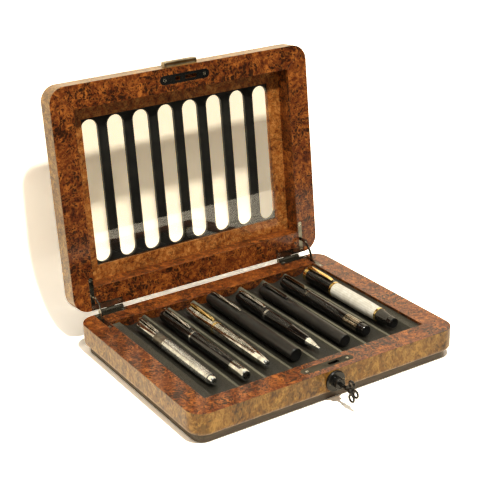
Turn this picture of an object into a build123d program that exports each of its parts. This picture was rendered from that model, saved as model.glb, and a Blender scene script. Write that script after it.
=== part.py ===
from build123d import *
from math import atan2, copysign, cos, degrees, radians, sin, sqrt
import os

# A glazed pen chest standing open, with eight pens in it. Millimetres.
# +X is to the right, +Y to the hinged back and +Z up.
# The origin is the centre of the underside, on the table.

# Case
case_width = 285.0
case_depth = 220.0
corner_radius = 16.0
rail_width = 23.0
baize_thickness = 0.8
baize_inset = 1.0
plinth_top = 8.5
plinth_inset = 5.2
rim_height = 31.0
base_edge_round = 4.5
cut_past = 1.0
bottom_panel_thickness = 4.0
rebate_width = 6.0

# Lid
lid_thickness = 24.5
lid_edge_round = 6.0
lid_open_angle = 95.4
lid_gap = 0.3
pivot_behind = 2.8
recess_depth = 18.5
frame_width = 14.3
glass_step = 0.8
glass_thickness = 2.0
panel_thickness = 3.2
slot_length = 142.0
slot_width = 17.6

# Tray
pen_count = 8
trough_pitch = 27.6
crest_width = 2.2
crest_below_rim = 2.5
trough_sag = 6.5
lining_thickness = 1.0
tray_board_thickness = 4.0
tray_play = 0.2
rib_joint = 0.4

# Corner hinges: L-shaped leaves let into the rims, with a curved stay in each
leaf_thickness = 1.5
flush = 0.05
leaf_inner = 120.5
leaf_screw_margin = 3.5
leg_width = 4.5
side_leg_length = 34.0
rear_leg_width = 6.5
rear_leg_length = 34.0
barrel_radius = 2.4
knuckle_ends = (92.0, 100.2, 109.4, 117.6)
pin_radius = 1.0
pin_play = 0.04
pin_end_gap = 0.3
stay_radius = 17.6
stay_height = 2.4
stay_thickness = 1.4
stay_tail = 11.5
stay_lug_radius = 1.7
stay_play = 0.3
stay_slot_room = 1.0
stay_pocket = (7.0, 19.9)
stay_pocket_depth = 17.5
stay_pocket_room = 1.4

# Screws
screw_head_radius = 1.7
screw_head_height = 1.0
screw_shank_radius = 0.8
screw_length = 8.0
driver_slot_width = 0.5
driver_slot_depth = 0.4

# Lock in the front rail
plate_length = 56.0
plate_width = 9.5
plate_thickness = 1.5
plate_screw_x = 22.0
plate_hole_round = 0.6
bolt_x = 7.0
bolt_opening = (11.5, 4.0)
lock_case_size = (36.0, 9.0, 15.5)
lock_wall = 1.0
bolt_size = (8.6, 2.4, 10.0)
bolt_chamfer = 0.8
bolt_top_below_plate = 1.2
lock_height = 20.0
escutcheon_radius = 10.0
escutcheon_thickness = 2.4
escutcheon_round = 1.2
escutcheon_screw_x = 7.1
boss_radius = 5.0
boss_length = 6.5
boss_round = 0.8
plug_radius = 3.6
plug_play = 0.05
plug_sunk = 0.4
plug_past_wall = 0.8
keyway = (1.6, 5.2)
key_play = 0.2
key_blade_length = 13.0
key_collar_radius = 2.6
bow_reach = 24.0
bow_ring_radius = 4.3
bow_hole_radius = 2.2
bow_ring_spread = 6.6
bow_top_ring = 5.4
bow_hub = (6.0, 9.0)
bow_hub_back = 0.5
bow_thickness = 2.2

# Lid fittings
strike_length = 55.0
strike_width = 9.0
strike_openings = ((-7.6, 6.0), (7.0, 13.0))
strike_pocket_depth = 3.6
pull_length = 37.0
pull_height = 8.0
pull_stand = 4.4
pull_up = 5.0
pull_corner = 2.5
pull_edge = 1.0
pull_scoop = 2.2
pull_scoop_below = 1.0
pull_scoop_out = 1.54

# Pens
pen_lift_gap = 0.2
cap_tenon_length = 12.0
cap_wall = 1.6
band_depth = 0.9
clip_seat_depth = 0.8
clip_root_length = 4.0
clip_rise = 0.8
clip_stand = 2.0
clip_end_stand = 1.5
clip_air = 1.0
clip_foot_length = 3.5
clip_foot_gap = 0.25

# Worked out from the sizes above
inner_x = case_width / 2 - rail_width
inner_y = case_depth / 2 - rail_width
rear_y = case_depth / 2
rail_middle_y = inner_y + rail_width / 2
body_height = rim_height - plinth_top
pivot_y = rear_y + pivot_behind
pivot_z = rim_height + lid_gap / 2
stay_x = leaf_inner + leg_width / 2
panel_top = plinth_top + bottom_panel_thickness
crest_top = rim_height - crest_below_rim
trough_half = (trough_pitch - crest_width) / 2
trough_radius = (trough_half ** 2 + trough_sag ** 2) / (2 * trough_sag)
trough_bottom = crest_top - trough_sag
frame_inner_x = inner_x - frame_width
frame_inner_y = inner_y - frame_width
head_taper = degrees(atan2(screw_head_radius - screw_shank_radius, screw_head_height))

# Both halves are described from their own rim plane: local +Y runs to the hinged back
# and local +Z runs into the wood, down in the base and up in the closed lid.
base_rim = Plane(origin=(0, 0, rim_height), x_dir=(-1, 0, 0), z_dir=(0, 0, -1))
open_rad = radians(lid_open_angle)
into_lid = (0, sin(open_rad), cos(open_rad))
hinge_plane = Plane(origin=(0, pivot_y, pivot_z), x_dir=(1, 0, 0), z_dir=into_lid)
lid_centre = hinge_plane.from_local_coords((0, -pivot_y, lid_gap / 2))
lid_rim = Plane(origin=lid_centre, x_dir=(1, 0, 0), z_dir=hinge_plane.z_dir)

os.makedirs("parts", exist_ok=True)


def write(name, shape):
    shape.label = name
    export_step(shape, f"parts/{name}.step")


# Rails: a rounded frame cut into four at the mitres


def rail_ring(rim, height, edge_round):
    with BuildPart() as ring:
        with BuildSketch(rim):
            RectangleRounded(case_width, case_depth, corner_radius)
            Rectangle(2 * inner_x, 2 * inner_y, mode=Mode.SUBTRACT)
        extrude(amount=height)
        far_face = ring.faces().sort_by(Axis(rim.origin, rim.z_dir))[-1]
        fillet(far_face.outer_wire().edges(), edge_round)
    return ring.part


def mitre_wedge(side, reach):
    # From the rails' inner line outward, or inward where reach is negative
    corners = {
        "front": [(-inner_x, -inner_y), (inner_x, -inner_y)],
        "right": [(inner_x, -inner_y), (inner_x, inner_y)],
        "rear": [(inner_x, inner_y), (-inner_x, inner_y)],
        "left": [(-inner_x, inner_y), (-inner_x, -inner_y)],
    }[side]
    moved = [(x + copysign(1, x) * reach, y + copysign(1, y) * reach) for x, y in corners]
    return corners + moved[::-1]


def mitred_rail(ring, rim, height, side):
    with BuildPart() as rail:
        add(ring)
        with BuildSketch(rim):
            with BuildLine():
                Polyline(*mitre_wedge(side, rail_width + cut_past), close=True)
            make_face()
        extrude(amount=height, mode=Mode.INTERSECT)
    return rail.part


# Hinge leaves, seen from the rim plane. The hand is +1 or -1 along the plane's own X.


def leaf_blank(rim, hand, depth, thickness):
    with BuildPart() as blank:
        with BuildSketch(rim.offset(depth)) as outline:
            with Locations((hand * stay_x, rear_y - side_leg_length / 2)):
                Rectangle(leg_width, side_leg_length)
            rear_leg_x = leaf_inner + leg_width - rear_leg_length / 2
            with Locations((hand * rear_leg_x, rear_y - rear_leg_width / 2)):
                Rectangle(rear_leg_length, rear_leg_width)
            fillet(outline.vertices().group_by(Axis.Y)[0], leg_width / 2 - 0.01)
        extrude(amount=thickness)
    return blank.part


def leaf_screw_places(hand):
    corner_y = rear_y - rear_leg_width / 2
    far_x = leaf_inner + leg_width - rear_leg_length + leaf_screw_margin
    return [
        (hand * stay_x, rear_y - side_leg_length + leaf_screw_margin),
        (hand * stay_x, corner_y),
        (hand * far_x, corner_y),
    ]


def leaf_recess(rim, hand):
    pocket_front = pivot_behind - stay_pocket[1]
    pocket_rear = pivot_behind - stay_pocket[0]
    with BuildPart() as recess:
        add(leaf_blank(rim, hand, 0, flush + leaf_thickness))
        with BuildSketch(rim):
            with Locations((hand * stay_x, rear_y + (pocket_front + pocket_rear) / 2)):
                Rectangle(stay_thickness + stay_pocket_room, pocket_rear - pocket_front)
        extrude(amount=stay_pocket_depth)
        with BuildSketch(rim):
            with Locations(*leaf_screw_places(hand)):
                Circle(screw_shank_radius)
        extrude(amount=flush + screw_length)
    return recess.part


def knuckle_plane(rim, middle):
    axis_point = rim.from_local_coords((middle, pivot_y, -lid_gap / 2))
    return Plane(origin=axis_point, x_dir=rim.y_dir, z_dir=rim.x_dir)


def hinge_leaf(rim, hand, spans, bore_radius):
    with BuildPart() as leaf:
        add(leaf_blank(rim, hand, flush, leaf_thickness))
        for low, high in spans:
            middle = hand * (low + high) / 2
            with BuildSketch(rim.offset(flush)):
                with Locations((middle, rear_y + pivot_behind / 2)):
                    Rectangle(high - low, pivot_behind)
            extrude(amount=leaf_thickness)
            with BuildSketch(knuckle_plane(rim, middle)):
                Circle(barrel_radius)
            extrude(amount=(high - low) / 2, both=True)
        for low, high in spans:
            with BuildSketch(knuckle_plane(rim, hand * (low + high) / 2)):
                Circle(bore_radius)
            extrude(amount=(high - low) / 2, both=True, mode=Mode.SUBTRACT)
        with BuildSketch(rim):
            with Locations((hand * stay_x, pivot_y - stay_radius)):
                Rectangle(stay_thickness + 2 * stay_play, stay_height + stay_slot_room)
        extrude(amount=flush + leaf_thickness, mode=Mode.SUBTRACT)
        for place in leaf_screw_places(hand):
            add(screw_seat(rim.offset(flush), place), mode=Mode.SUBTRACT)
    return leaf.part


# Screws and the seats cut for them


def screw_seat(face, place):
    top = Plane(origin=face.from_local_coords((*place, 0)), x_dir=face.x_dir, z_dir=face.z_dir)
    with BuildPart() as seat:
        with BuildSketch(top):
            Circle(screw_head_radius)
        extrude(amount=screw_head_height, taper=head_taper)
        with BuildSketch(top):
            Circle(screw_shank_radius)
        extrude(amount=screw_length)
    return seat.part


def screw(face, place):
    top = Plane(origin=face.from_local_coords((*place, 0)), x_dir=face.x_dir, z_dir=face.z_dir)
    with BuildPart() as body:
        add(screw_seat(face, place))
        with BuildSketch(top):
            Rectangle(3 * screw_head_radius, driver_slot_width, rotation=30)
        extrude(amount=driver_slot_depth, mode=Mode.SUBTRACT)
    return body.part


# Base rails

base_ring = rail_ring(base_rim, body_height, base_edge_round)
base_leaf_face = base_rim.offset(flush)
front_face = Plane(origin=(0, -rear_y, lock_height), x_dir=(1, 0, 0), z_dir=(0, -1, 0))
escutcheon_front = (0, -rear_y - escutcheon_thickness, lock_height)
inward = Plane(origin=escutcheon_front, x_dir=(1, 0, 0), z_dir=(0, 1, 0))
down = Plane(origin=(0, 0, rim_height - flush), x_dir=(1, 0, 0), z_dir=(0, 0, -1))

with BuildPart() as panel_rebate:
    with BuildSketch(Plane.XY.offset(plinth_top)):
        Rectangle(2 * (inner_x + rebate_width), 2 * (inner_y + rebate_width))
    extrude(amount=bottom_panel_thickness)

with BuildPart() as base_front_rail:
    add(mitred_rail(base_ring, base_rim, body_height, "front"))
    add(panel_rebate.part, mode=Mode.SUBTRACT)
    with BuildSketch(Plane.XY.offset(rim_height - flush - plate_thickness)):
        with Locations((0, -rail_middle_y)):
            SlotOverall(plate_length, plate_width)
    extrude(amount=plate_thickness + cut_past, mode=Mode.SUBTRACT)
    with BuildSketch(Plane.XY.offset(rim_height - flush - plate_thickness - lock_case_size[2])):
        with Locations((0, -rail_middle_y)):
            Rectangle(lock_case_size[0], lock_case_size[1])
    extrude(amount=lock_case_size[2] + cut_past, mode=Mode.SUBTRACT)
    with BuildSketch(Plane.XY.offset(rim_height)):
        with Locations((-plate_screw_x, -rail_middle_y), (plate_screw_x, -rail_middle_y)):
            Circle(screw_shank_radius)
    extrude(amount=-(flush + screw_length), mode=Mode.SUBTRACT)
    with BuildSketch(front_face):
        Circle(plug_radius + plug_play)
    extrude(amount=-rail_width / 2, mode=Mode.SUBTRACT)
    with BuildSketch(front_face):
        with Locations((-escutcheon_screw_x, 0), (escutcheon_screw_x, 0)):
            Circle(screw_shank_radius)
    extrude(amount=-(screw_length - escutcheon_thickness), mode=Mode.SUBTRACT)
write("base_front_rail", base_front_rail.part)

with BuildPart() as base_rear_rail:
    add(mitred_rail(base_ring, base_rim, body_height, "rear"))
    add(panel_rebate.part, mode=Mode.SUBTRACT)
    for hand in (1, -1):
        add(leaf_recess(base_rim, hand), mode=Mode.SUBTRACT)
write("base_rear_rail", base_rear_rail.part)

for side in ("left", "right"):
    with BuildPart() as base_side_rail:
        add(mitred_rail(base_ring, base_rim, body_height, side))
        add(panel_rebate.part, mode=Mode.SUBTRACT)
        for hand in (1, -1):
            add(leaf_recess(base_rim, hand), mode=Mode.SUBTRACT)
    write(f"base_{side}_rail", base_side_rail.part)

# Bottom panel, plinth and baize

with BuildPart() as base_bottom_panel:
    add(panel_rebate.part)
write("base_bottom_panel", base_bottom_panel.part)

plinth_size = (case_width - 2 * plinth_inset, case_depth - 2 * plinth_inset)
with BuildPart() as plinth:
    with BuildSketch(Plane.XY.offset(baize_thickness)):
        RectangleRounded(*plinth_size, corner_radius - plinth_inset)
    extrude(amount=plinth_top - baize_thickness)
write("plinth", plinth.part)

baize_size = (plinth_size[0] - 2 * baize_inset, plinth_size[1] - 2 * baize_inset)
with BuildPart() as base_baize:
    with BuildSketch():
        RectangleRounded(*baize_size, corner_radius - plinth_inset - baize_inset)
    extrude(amount=baize_thickness)
write("base_baize", base_baize.part)

# Tray: a board, nine cusped ribs and the lining over them

tray_half_x = inner_x - tray_play
tray_half_y = inner_y - tray_play
ribs_bottom = panel_top + tray_board_thickness

with BuildPart() as tray_board:
    with BuildSketch(Plane.XY.offset(panel_top)):
        Rectangle(2 * tray_half_x, 2 * tray_half_y)
    extrude(amount=tray_board_thickness)
write("tray_board", tray_board.part)


def trough_x(number):
    return (number - (pen_count - 1) / 2) * trough_pitch


def corrugated_block(drop):
    # Solid up to the trough surface, lowered by drop
    with BuildPart() as block:
        with BuildSketch(Plane.XZ.offset(-tray_half_y)):
            with Locations((0, (ribs_bottom + crest_top - drop) / 2)):
                Rectangle(2 * tray_half_x, crest_top - drop - ribs_bottom)
            for number in range(pen_count):
                with Locations((trough_x(number), trough_bottom + trough_radius)):
                    Circle(trough_radius + drop, mode=Mode.SUBTRACT)
        extrude(amount=2 * tray_half_y)
    return block.part


lined_block = corrugated_block(0)
bare_block = corrugated_block(lining_thickness)

with BuildPart() as tray_ribs:
    add(bare_block)
    with BuildSketch(Plane.XY.offset(ribs_bottom)):
        with GridLocations(trough_pitch, 1, pen_count, 1):
            Rectangle(rib_joint, 2 * tray_half_y)
    extrude(amount=crest_top, mode=Mode.SUBTRACT)
write("tray_ribs", tray_ribs.part)

with BuildPart() as tray_lining:
    add(lined_block)
    add(bare_block, mode=Mode.SUBTRACT)
write("tray_lining", tray_lining.part)

# Lock: faceplate, case, rising bolt, escutcheon, plug and key

plate_bottom = rim_height - flush - plate_thickness
case_length, case_width_y, case_height = lock_case_size

with BuildPart() as lock_faceplate:
    with BuildSketch(Plane.XY.offset(plate_bottom)):
        with Locations((0, -rail_middle_y)):
            SlotOverall(plate_length, plate_width)
        with Locations((bolt_x, -rail_middle_y)):
            RectangleRounded(*bolt_opening, plate_hole_round, mode=Mode.SUBTRACT)
    extrude(amount=plate_thickness)
    for side_x in (-plate_screw_x, plate_screw_x):
        add(screw_seat(down, (side_x, rail_middle_y)), mode=Mode.SUBTRACT)
write("lock_faceplate", lock_faceplate.part)

with BuildPart() as lock_case:
    with BuildSketch(Plane.XY.offset(plate_bottom - case_height)):
        with Locations((0, -rail_middle_y)):
            Rectangle(case_length, case_width_y)
    extrude(amount=case_height)
    with BuildSketch(Plane.XY.offset(plate_bottom - case_height + lock_wall)):
        with Locations((0, -rail_middle_y)):
            Rectangle(case_length - 2 * lock_wall, case_width_y - 2 * lock_wall)
    extrude(amount=case_height, mode=Mode.SUBTRACT)
    with BuildSketch(front_face):
        Circle(plug_radius + plug_play)
    extrude(amount=-rail_width / 2, mode=Mode.SUBTRACT)
write("lock_case", lock_case.part)

bolt_top = plate_bottom - bolt_top_below_plate
with BuildPart() as lock_bolt:
    with BuildSketch(Plane.XY.offset(bolt_top - bolt_size[2])):
        with Locations((bolt_x, -rail_middle_y)):
            Rectangle(bolt_size[0], bolt_size[1])
    extrude(amount=bolt_size[2])
    chamfer(lock_bolt.faces().sort_by(Axis.Z)[-1].edges().filter_by(Axis.Y), bolt_chamfer)
write("lock_bolt", lock_bolt.part)

with BuildPart() as escutcheon:
    with BuildSketch(front_face):
        Circle(escutcheon_radius)
    extrude(amount=escutcheon_thickness)
    fillet(escutcheon.faces().sort_by(Axis.Y)[0].edges(), escutcheon_round)
    with BuildSketch(front_face.offset(escutcheon_thickness)):
        Circle(boss_radius)
    extrude(amount=boss_length)
    fillet(escutcheon.faces().sort_by(Axis.Y)[0].edges(), boss_round)
    with BuildSketch(front_face):
        Circle(plug_radius + plug_play)
    extrude(amount=escutcheon_thickness + boss_length, mode=Mode.SUBTRACT)
    for side_x in (-escutcheon_screw_x, escutcheon_screw_x):
        add(screw_seat(inward, (side_x, 0)), mode=Mode.SUBTRACT)
write("escutcheon", escutcheon.part)

boss_front = escutcheon_thickness + boss_length
plug_back = rail_width / 2 - case_width_y / 2 + lock_wall + plug_past_wall
with BuildPart() as lock_plug:
    with BuildSketch(front_face.offset(-plug_back)):
        Circle(plug_radius)
    extrude(amount=plug_back + boss_front - plug_sunk)
    with BuildSketch(front_face.offset(boss_front - key_blade_length - 2 * key_play)):
        Rectangle(*keyway)
    extrude(amount=key_blade_length + 2 * cut_past, mode=Mode.SUBTRACT)
write("lock_plug", lock_plug.part)

blade_back = boss_front - key_blade_length
bow_plane = Plane(origin=(0, -rear_y, lock_height), x_dir=(0, -1, 0), z_dir=(1, 0, 0))
ring_places = [
    (bow_reach, bow_ring_spread),
    (bow_reach, -bow_ring_spread),
    (bow_reach + bow_top_ring, 0),
]
with BuildPart() as key:
    with BuildSketch(bow_plane):
        with Locations(((blade_back + boss_front) / 2, 0)):
            Rectangle(key_blade_length, keyway[1] - 2 * key_play)
    extrude(amount=keyway[0] / 2 - key_play, both=True)
    with BuildSketch(front_face.offset(boss_front)):
        Circle(key_collar_radius)
    extrude(amount=bow_reach - boss_front)
    with BuildSketch(bow_plane):
        with Locations(*ring_places):
            Circle(bow_ring_radius)
        with Locations((bow_reach - bow_hub_back, 0)):
            Rectangle(*bow_hub)
        with Locations(*ring_places):
            Circle(bow_hole_radius, mode=Mode.SUBTRACT)
    extrude(amount=bow_thickness / 2, both=True)
write("key", key.part)

base_screws = [screw(base_leaf_face, place) for hand in (1, -1) for place in leaf_screw_places(hand)]
base_screws += [screw(down, (side_x, rail_middle_y)) for side_x in (-plate_screw_x, plate_screw_x)]
base_screws += [screw(inward, (side_x, 0)) for side_x in (-escutcheon_screw_x, escutcheon_screw_x)]
write("base_screws", Compound(base_screws))

# Lid rails, window frame, glass and slotted panel

lid_ring = rail_ring(lid_rim, lid_thickness, lid_edge_round)
strike_centre = (0, -rail_middle_y)
lid_leaf_face = lid_rim.offset(flush)

with BuildPart() as lid_front_rail:
    add(mitred_rail(lid_ring, lid_rim, lid_thickness, "front"))
    with BuildSketch(lid_rim):
        with Locations(strike_centre):
            SlotOverall(strike_length, strike_width)
    extrude(amount=flush + plate_thickness, mode=Mode.SUBTRACT)
    with BuildSketch(lid_rim):
        for opening_x, opening_length in strike_openings:
            with Locations((opening_x, -rail_middle_y)):
                Rectangle(opening_length, bolt_opening[1])
    extrude(amount=plate_thickness + strike_pocket_depth, mode=Mode.SUBTRACT)
    with BuildSketch(lid_rim):
        with Locations((-plate_screw_x, -rail_middle_y), (plate_screw_x, -rail_middle_y)):
            Circle(screw_shank_radius)
    extrude(amount=flush + screw_length, mode=Mode.SUBTRACT)
write("lid_front_rail", lid_front_rail.part)

for side in ("rear", "left", "right"):
    with BuildPart() as lid_rail:
        add(mitred_rail(lid_ring, lid_rim, lid_thickness, side))
        for hand in (1, -1):
            add(leaf_recess(lid_rim, hand), mode=Mode.SUBTRACT)
    write(f"lid_{side}_rail", lid_rail.part)

# Four strips of moulding, mitred like the rails
frame_strips = []
for side in ("front", "right", "rear", "left"):
    with BuildPart() as strip:
        with BuildSketch(lid_rim.offset(recess_depth)):
            with BuildLine():
                Polyline(*mitre_wedge(side, -frame_width), close=True)
            make_face()
        extrude(amount=lid_thickness - recess_depth)
    frame_strips.append(strip.part)
write("window_frame", Compound(frame_strips))

glass_low = recess_depth + glass_step
with BuildPart() as glass_pane:
    with BuildSketch(lid_rim.offset(glass_low)):
        Rectangle(2 * frame_inner_x, 2 * frame_inner_y)
    extrude(amount=glass_thickness)
write("glass_pane", glass_pane.part)

with BuildPart() as slotted_panel:
    with BuildSketch(lid_rim.offset(glass_low + glass_thickness)):
        Rectangle(2 * frame_inner_x, 2 * frame_inner_y)
    extrude(amount=panel_thickness)
    with BuildSketch(lid_rim.offset(glass_low + glass_thickness)):
        for number in range(pen_count):
            with Locations((trough_x(number), 0)):
                SlotOverall(slot_length, slot_width, rotation=90)
    extrude(amount=panel_thickness, mode=Mode.SUBTRACT)
write("slotted_panel", slotted_panel.part)

# Strike plate, pull and lid screws

with BuildPart() as strike_plate:
    with BuildSketch(lid_rim.offset(flush)):
        with Locations(strike_centre):
            SlotOverall(strike_length, strike_width)
        for opening_x, opening_length in strike_openings:
            with Locations((opening_x, -rail_middle_y)):
                RectangleRounded(opening_length, bolt_opening[1], plate_hole_round, mode=Mode.SUBTRACT)
    extrude(amount=plate_thickness)
    for side_x in (-plate_screw_x, plate_screw_x):
        add(screw_seat(lid_leaf_face, (side_x, -rail_middle_y)), mode=Mode.SUBTRACT)
write("strike_plate", strike_plate.part)

# The pull stands out of the lid's front face; its local Y runs up the lid
pull_origin = lid_rim.from_local_coords((0, -rear_y, pull_up + pull_height / 2))
pull_face = Plane(origin=pull_origin, x_dir=(1, 0, 0), z_dir=-lid_rim.y_dir)
scoop_origin = pull_face.from_local_coords((0, -pull_height / 2 - pull_scoop_below, pull_scoop_out))
scoop_plane = Plane(origin=scoop_origin, x_dir=pull_face.y_dir, z_dir=(1, 0, 0))
with BuildPart() as lid_pull:
    with BuildSketch(pull_face):
        RectangleRounded(pull_length, pull_height, pull_corner)
    extrude(amount=pull_stand)
    fillet(lid_pull.faces().sort_by(Axis(pull_face.origin, pull_face.z_dir))[-1].edges(), pull_edge)
    with BuildSketch(scoop_plane):
        Circle(pull_scoop)
    extrude(amount=pull_length / 2 - pull_corner, both=True, mode=Mode.SUBTRACT)
write("lid_pull", lid_pull.part)

lid_screws = [screw(lid_leaf_face, place) for hand in (1, -1) for place in leaf_screw_places(hand)]
lid_screws += [screw(lid_leaf_face, (side_x, -rail_middle_y)) for side_x in (-plate_screw_x, plate_screw_x)]
write("lid_screws", Compound(lid_screws))

# Hinges: two leaves, the pin and the stay on each side

base_spans = (knuckle_ends[:2], knuckle_ends[2:])
lid_spans = ((knuckle_ends[1] + stay_play, knuckle_ends[2] - stay_play),)
for side, hand in (("left", -1), ("right", 1)):
    write(f"{side}_hinge_base_leaf", hinge_leaf(base_rim, -hand, base_spans, pin_radius))
    write(f"{side}_hinge_lid_leaf", hinge_leaf(lid_rim, hand, lid_spans, pin_radius + pin_play))

    pin_middle = hand * (knuckle_ends[0] + knuckle_ends[-1]) / 2
    with BuildPart() as pin:
        with BuildSketch(Plane(origin=(pin_middle, pivot_y, pivot_z), x_dir=(0, 1, 0), z_dir=(1, 0, 0))):
            Circle(pin_radius)
        extrude(amount=(knuckle_ends[-1] - knuckle_ends[0]) / 2 - pin_end_gap, both=True)
    write(f"{side}_hinge_pin", pin.part)

    # Local X runs forward and local Y up, so angles grow from the base rim to the lid
    stay_plane = Plane(origin=(hand * stay_x, pivot_y, pivot_z), x_dir=(0, -1, 0), z_dir=(-1, 0, 0))
    arc_sweep = lid_open_angle + 2 * stay_tail
    with BuildPart() as stay:
        with BuildSketch(stay_plane):
            with BuildLine():
                outer = CenterArc((0, 0), stay_radius + stay_height / 2, -stay_tail, arc_sweep)
                inner = CenterArc((0, 0), stay_radius - stay_height / 2, -stay_tail, arc_sweep)
                Line(outer @ 0, inner @ 0)
                Line(outer @ 1, inner @ 1)
            make_face()
            for angle in (-stay_tail, arc_sweep - stay_tail):
                lug_x = stay_radius * cos(radians(angle))
                lug_y = stay_radius * sin(radians(angle))
                with Locations((lug_x, lug_y)):
                    Circle(stay_lug_radius)
        extrude(amount=stay_thickness / 2, both=True)
    write(f"{side}_hinge_stay", stay.part)

# Pens, each lying in its trough with the clip end to the back.
# Places along a pen are measured from its clip end; each place has its radius.

pens = [
    {
        "rear": 73, "shift": 1.5, "cap": [(0, 4.6), (4, 5.3), (52, 5.6)], "clip": (2, 37, 3.2),
        "barrel": [(52, 5.6), (90, 5.5), (130, 4.8)], "bands": [(32, 33.6, 5.7), (52, 54.5, 5.8)],
        "nose": [(130, 4.0), (134, 3.9), (136, 2.6)], "rounds": (3.0, 0.4),
    },
    {
        "rear": 76, "shift": 1.5, "cap": [(0, 5.0), (6, 5.9), (58, 6.4)], "clip": (3, 52, 3.6),
        "barrel": [(58, 6.1), (90, 5.9), (126, 5.2)], "bands": [(58, 61, 6.5)],
        "nose": [(126, 5.2), (140, 5.0), (148, 4.6)], "rounds": (3.0, 0.4),
    },
    {
        "rear": 72, "shift": 1.2, "cap": [(0, 4.8), (5, 5.6), (49, 6.0)], "clip": (2, 46, 3.8),
        "barrel": [(49, 5.9), (90, 5.7), (118, 5.0)], "bands": [(49, 52, 6.2)],
        "nose": [(118, 5.0), (130, 4.0), (136, 2.8)], "rounds": (2.4, 0.4),
    },
    {
        "rear": 80, "shift": 3.0, "cap": [(0, 6.2), (3, 6.6), (60, 6.9)], "clip": (1, 55, 2.8),
        "barrel": [(60, 6.7), (100, 6.7), (147, 6.3)], "bands": [],
        "nose": [], "rounds": (1.4, 1.0),
    },
    {
        "rear": 69, "shift": 1.2, "cap": [(0, 4.8), (4, 5.5), (51, 5.9)], "clip": (2, 47, 3.4),
        "barrel": [(51, 5.8), (90, 5.7), (118, 4.6)], "bands": [(51, 54, 6.0)],
        "nose": [(118, 4.0), (131, 1.9), (136, 0.9)], "rounds": (2.4, 0.4),
    },
    {
        "rear": 68, "shift": 1.2, "cap": [(0, 5.6), (4, 6.2), (54, 6.5)], "clip": (2, 44, 4.4),
        "barrel": [(54, 6.4), (95, 6.4), (137, 5.9)], "bands": [],
        "nose": [], "rounds": (2.6, 1.0),
    },
    {
        "rear": 71, "shift": 1.5, "cap": [(0, 5.4), (4, 6.1), (43, 6.4)], "clip": (2, 40, 4.0),
        "barrel": [(43, 6.2), (90, 6.1), (136, 5.2)], "bands": [(43, 46, 6.5), (106, 127, 6.1)],
        "nose": [], "rounds": (2.6, 1.6),
    },
    {
        "rear": 69, "shift": 3.0, "cap": [(0, 5.6), (5, 6.8), (48, 7.6)], "clip": (1, 42, 4.2),
        "barrel": [(48, 7.3), (90, 7.4), (118, 6.8), (122, 6.1), (132, 5.0), (133, 5.3), (139, 5.0)],
        "bands": [(0, 5, 7.0), (45, 48, 7.8), (115, 118, 7.1)], "nose": [], "rounds": (2.0, 1.4),
    },
]


def turned(plane, stations):
    with BuildPart() as body:
        with BuildSketch(plane):
            with BuildLine():
                Polyline((stations[0][0], 0), *stations, (stations[-1][0], 0), close=True)
            make_face()
        revolve(axis=Axis(plane.origin, plane.x_dir))
    return body.part


def band(plane, start, end, radius):
    with BuildPart() as ring:
        add(turned(plane, [(start, radius), (end, radius)]))
        add(turned(plane, [(start, radius - band_depth), (end, radius - band_depth)]), mode=Mode.SUBTRACT)
    return ring.part


def pen_clip(plane, start, end, width, radius, cap):
    seat = radius - clip_seat_depth
    root_end = start + clip_root_length
    foot_start = end - clip_foot_length
    with BuildPart() as clip:
        with BuildSketch(plane):
            with BuildLine():
                Polyline(
                    (start, seat),
                    (start + clip_rise, radius + clip_stand),
                    (end, radius + clip_end_stand),
                    (end, radius + clip_foot_gap),
                    (foot_start, radius + clip_foot_gap),
                    (foot_start - clip_rise, radius + clip_air),
                    (root_end + clip_rise, radius + clip_air),
                    (root_end, seat),
                    close=True,
                )
            make_face()
        extrude(amount=width / 2, both=True)
        add(cap, mode=Mode.SUBTRACT)
    return clip.part


for number, pen in enumerate(pens):
    cap_radii = [radius for _, radius in pen["cap"]]
    band_radii = [radius for _, _, radius in pen["bands"]]
    widest = max(cap_radii + band_radii)
    swing = trough_radius - widest - pen_lift_gap
    axis_x = trough_x(number) + pen["shift"]
    axis_z = trough_bottom + trough_radius - sqrt(swing ** 2 - pen["shift"] ** 2)
    pen_plane = Plane(origin=(axis_x, pen["rear"], axis_z), x_dir=(0, -1, 0), z_dir=(-1, 0, 0))
    cap_end, mouth_radius = pen["cap"][-1]
    rear_round, end_round = pen["rounds"]
    trims = [band(pen_plane, *row) for row in pen["bands"]]
    tenon_radius = mouth_radius - cap_wall
    tenon = turned(pen_plane, [(cap_end - cap_tenon_length, tenon_radius), (cap_end + 1, tenon_radius)])

    with BuildPart() as cap:
        add(turned(pen_plane, pen["cap"]))
        fillet(cap.edges().sort_by(Axis.Y)[-1], rear_round)
    whole_cap = cap.part
    with BuildPart() as barrel:
        add(turned(pen_plane, pen["barrel"]))
        if not pen["nose"]:
            fillet(barrel.edges().sort_by(Axis.Y)[0], end_round)
        add(tenon)
    whole_barrel = barrel.part
    trims.append(pen_clip(pen_plane, *pen["clip"], mouth_radius, whole_cap))
    if pen["nose"]:
        with BuildPart() as nose:
            add(turned(pen_plane, pen["nose"]))
            fillet(nose.edges().sort_by(Axis.Y)[0], end_round)
        trims.append(nose.part)

    with BuildPart() as cut_cap:
        add(whole_cap)
        add(tenon, mode=Mode.SUBTRACT)
        for trim in trims:
            add(trim, mode=Mode.SUBTRACT)
    with BuildPart() as cut_barrel:
        add(whole_barrel)
        for trim in trims:
            add(trim, mode=Mode.SUBTRACT)
    write(f"pen_{number + 1}_cap", cut_cap.part)
    write(f"pen_{number + 1}_barrel", cut_barrel.part)
    write(f"pen_{number + 1}_trim", Compound(trims))
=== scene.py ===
import math

import bmesh
import bpy
from mathutils import Matrix, Vector


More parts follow.
